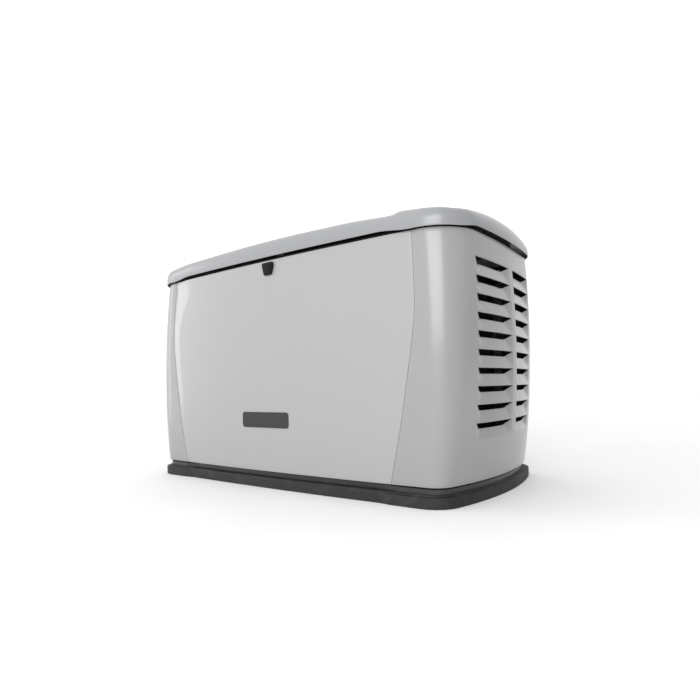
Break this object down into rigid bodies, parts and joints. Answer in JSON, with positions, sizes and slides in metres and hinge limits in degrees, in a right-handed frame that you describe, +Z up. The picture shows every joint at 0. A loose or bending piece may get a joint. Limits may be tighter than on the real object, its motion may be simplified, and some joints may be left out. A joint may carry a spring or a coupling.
{
  "type": "home standby generator",
  "caption": "Home standby generator: louvred grey enclosure with a hinged lid and removable front panel on a black composite pad, with a V-twin engine and alternator inside.",
  "frame": {"origin": "middle of the underside of the mounting pad", "axes": "+X along the length, to the right seen from the front; the front panel faces -Y; +Z up"},
  "size_m": [1.2182, 0.638, 0.732],
  "materials": {
    "composite": "coarse moulded composite, slightly mottled",
    "frame_black": "satin black powder coat",
    "enclosure_paint": "light grey textured powder coat, semi-gloss",
    "lid_paint": "light cool-grey powder coat, semi-gloss",
    "galvanised": "galvanised sheet",
    "zinc_steel": "zinc-plated steel",
    "foam": "open-cell acoustic foam",
    "seal_rubber": "matte black rubber",
    "chromed": "polished",
    "cast_aluminium": "sand-cast, bead blasted",
    "cast_iron": "cast, fine grain",
    "black_paint": "satin black paint",
    "black_plastic": "fine-textured moulded plastic",
    "fan_aluminium": "die cast",
    "machined_steel": "turned and ground",
    "stator_steel": "laminated steel, varnished",
    "filter_white": "gloss white enamel",
    "plug_ceramic": "white glazed insulator",
    "yellow_plastic": "moulded, glossy",
    "filter_paper": "pleated resin-treated paper",
    "exhaust_steel": "aluminised, heat-tinted",
    "red_plastic": "moulded, glossy",
    "display_glass": "smooth tinted window",
    "button_grey": "satin moulded plastic"
  },
  "bodies": {
    "base": {"mounting_pad": "composite", "base_frame": "frame_black", "left_end_panel": "enclosure_paint", "right_end_panel": "enclosure_paint", "rear_panel": "enclosure_paint", "frame_uprights": "galvanised", "panel_screws": "zinc_steel", "lid_seal": "seal_rubber", "hinge_base_leaves": "zinc_steel", "hinge_pins": "zinc_steel", "divider_wall": "galvanised", "intake_partition": "galvanised", "crankcase": "cast_aluminium", "cylinders": "cast_iron", "cylinder_heads": "cast_aluminium", "rocker_covers": "black_paint", "spark_plugs": "plug_ceramic", "blower_housing": "black_plastic", "oil_filter": "filter_white", "starter_motor": "black_paint", "dipstick_tube": "zinc_steel", "intake_manifold": "cast_aluminium", "throttle_body": "cast_aluminium", "governor_actuator": "black_plastic", "air_cleaner_base": "black_plastic", "filter_element": "filter_paper", "exhaust_pipes": "exhaust_steel", "muffler": "exhaust_steel", "fuel_regulator": "cast_aluminium", "fuel_inlet": "zinc_steel", "fuel_hose": "seal_rubber", "stator": "stator_steel", "bearing_carrier": "cast_aluminium", "rubber_mounts": "seal_rubber", "control_housing": "black_plastic", "display_lens": "display_glass", "breaker_body": "black_plastic", "battery": "black_plastic"},
    "front_panel": {"front_panel": "enclosure_paint", "nameplate": "black_plastic", "lock_barrel": "chromed"},
    "lock_cam": {"lock_cam": "zinc_steel"},
    "lock_cover": {"lock_cover": "seal_rubber"},
    "lid": {"lid": "lid_paint", "lid_liner": "foam", "hinge_lid_leaves": "zinc_steel", "lid_striker": "galvanised"},
    "crank_rotor": {"crankshaft": "machined_steel", "flywheel_fan": "fan_aluminium", "rotor": "machined_steel"},
    "dipstick": {"dipstick": "yellow_plastic"},
    "air_cleaner_cover": {"air_cleaner_cover": "black_plastic"},
    "throttle_lever": {"throttle_lever": "zinc_steel"},
    "fuel_selector": {"fuel_selector": "red_plastic"},
    "mode_switch": {"mode_switch": "button_grey"},
    "breaker_lever": {"breaker_lever": "red_plastic"},
    "escape_button": {"escape_button": "button_grey"},
    "up_button": {"up_button": "button_grey"},
    "down_button": {"down_button": "button_grey"},
    "enter_button": {"enter_button": "button_grey"}
  },
  "joints": [
    {"name": "lid_hinge", "type": "hinge", "parent": "base", "child": "lid", "pos_m": [0, 0.311, 0.669], "axis": [-1, 0, 0], "range_deg": [0, 95]},
    {"name": "front_panel_slide", "type": "slide", "parent": "base", "child": "front_panel", "axis": [0, -1, 0], "range_m": [0, 0.25]},
    {"name": "lock_cam_turn", "type": "hinge", "parent": "front_panel", "child": "lock_cam", "pos_m": [0, -0.2905, 0.644], "axis": [0, 1, 0], "range_deg": [0, 90]},
    {"name": "lock_cover_flip", "type": "hinge", "parent": "front_panel", "child": "lock_cover", "pos_m": [0, -0.3115, 0.66], "axis": [-1, 0, 0], "range_deg": [0, 95]},
    {"name": "crank_spin", "type": "hinge", "parent": "base", "child": "crank_rotor", "pos_m": [0.07, 0, 0.23], "axis": [1, 0, 0], "continuous": true},
    {"name": "dipstick_pull", "type": "slide", "parent": "base", "child": "dipstick", "axis": [0, 0, 1], "range_m": [0, 0.12]},
    {"name": "air_cleaner_cover_lift", "type": "slide", "parent": "base", "child": "air_cleaner_cover", "axis": [0, 0, 1], "range_m": [0, 0.06]},
    {"name": "throttle_turn", "type": "hinge", "parent": "base", "child": "throttle_lever", "pos_m": [0.07, -0.03, 0.512], "axis": [0, 1, 0], "range_deg": [-40, 35], "stiffness_Nm_per_rad": 0.05},
    {"name": "fuel_selector_turn", "type": "hinge", "parent": "base", "child": "fuel_selector", "pos_m": [-0.325, 0.2, 0.505], "axis": [0, 0, 1], "range_deg": [0, 180]},
    {"name": "mode_switch_rock", "type": "hinge", "parent": "base", "child": "mode_switch", "pos_m": [0.433, -0.21404, 0.60862], "axis": [1, 0, 0], "range_deg": [-10, 10]},
    {"name": "breaker_toggle", "type": "hinge", "parent": "base", "child": "breaker_lever", "pos_m": [0.511, -0.211, 0.55], "axis": [1, 0, 0], "range_deg": [0, 34]},
    {"name": "escape_press", "type": "slide", "parent": "base", "child": "escape_button", "axis": [0, 0.7944, -0.6074], "range_m": [0, 0.0014], "stiffness_N_per_m": 400},
    {"name": "up_press", "type": "slide", "parent": "base", "child": "up_button", "axis": [0, 0.7944, -0.6074], "range_m": [0, 0.0014], "stiffness_N_per_m": 400},
    {"name": "down_press", "type": "slide", "parent": "base", "child": "down_button", "axis": [0, 0.7944, -0.6074], "range_m": [0, 0.0014], "stiffness_N_per_m": 400},
    {"name": "enter_press", "type": "slide", "parent": "base", "child": "enter_button", "axis": [0, 0.7944, -0.6074], "range_m": [0, 0.0014], "stiffness_N_per_m": 400}
  ]
}
